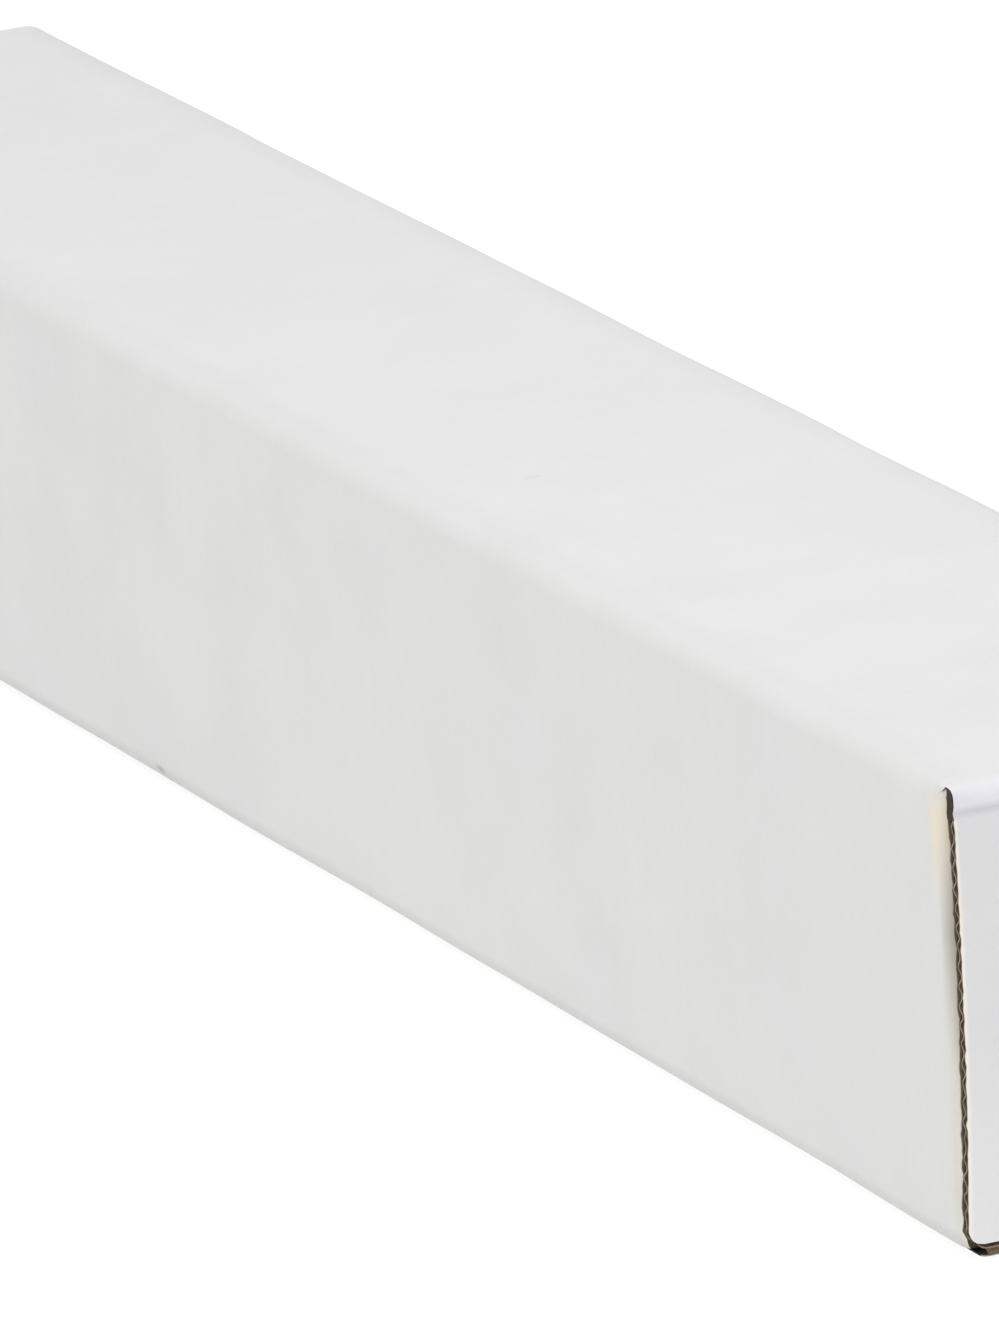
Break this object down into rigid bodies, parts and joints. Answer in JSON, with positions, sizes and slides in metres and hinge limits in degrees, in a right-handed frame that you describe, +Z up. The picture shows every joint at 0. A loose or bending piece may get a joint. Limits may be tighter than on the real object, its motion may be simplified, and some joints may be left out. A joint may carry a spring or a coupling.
{
  "type": "square mailing tube",
  "caption": "Long square corrugated board tube for mailing rolled papers, closed at both ends by tucked hinged flaps.",
  "frame": {"origin": "centre of the bounding box on the face that the tube rests on", "axes": "+X along the tube towards the near flap, +Z up from the wall it rests on to the wall that carries the flaps, +Y towards the wall with the glued lap"},
  "size_m": [0.517, 0.081, 0.0794],
  "materials": {
    "white_board": "white-faced corrugated board, matte"
  },
  "bodies": {
    "body": {"tube_body": "white_board"},
    "near_end": {"near_flap": "white_board"},
    "far_end": {"far_flap": "white_board"}
  },
  "joints": [
    {"name": "near_flap_hinge", "type": "hinge", "parent": "body", "child": "near_end", "pos_m": [0.2575, 0, 0.0794], "axis": [0, -1, 0], "range_deg": [0, 175]},
    {"name": "far_flap_hinge", "type": "hinge", "parent": "body", "child": "far_end", "pos_m": [-0.2575, 0, 0.0794], "axis": [0, 1, 0], "range_deg": [0, 175]}
  ]
}
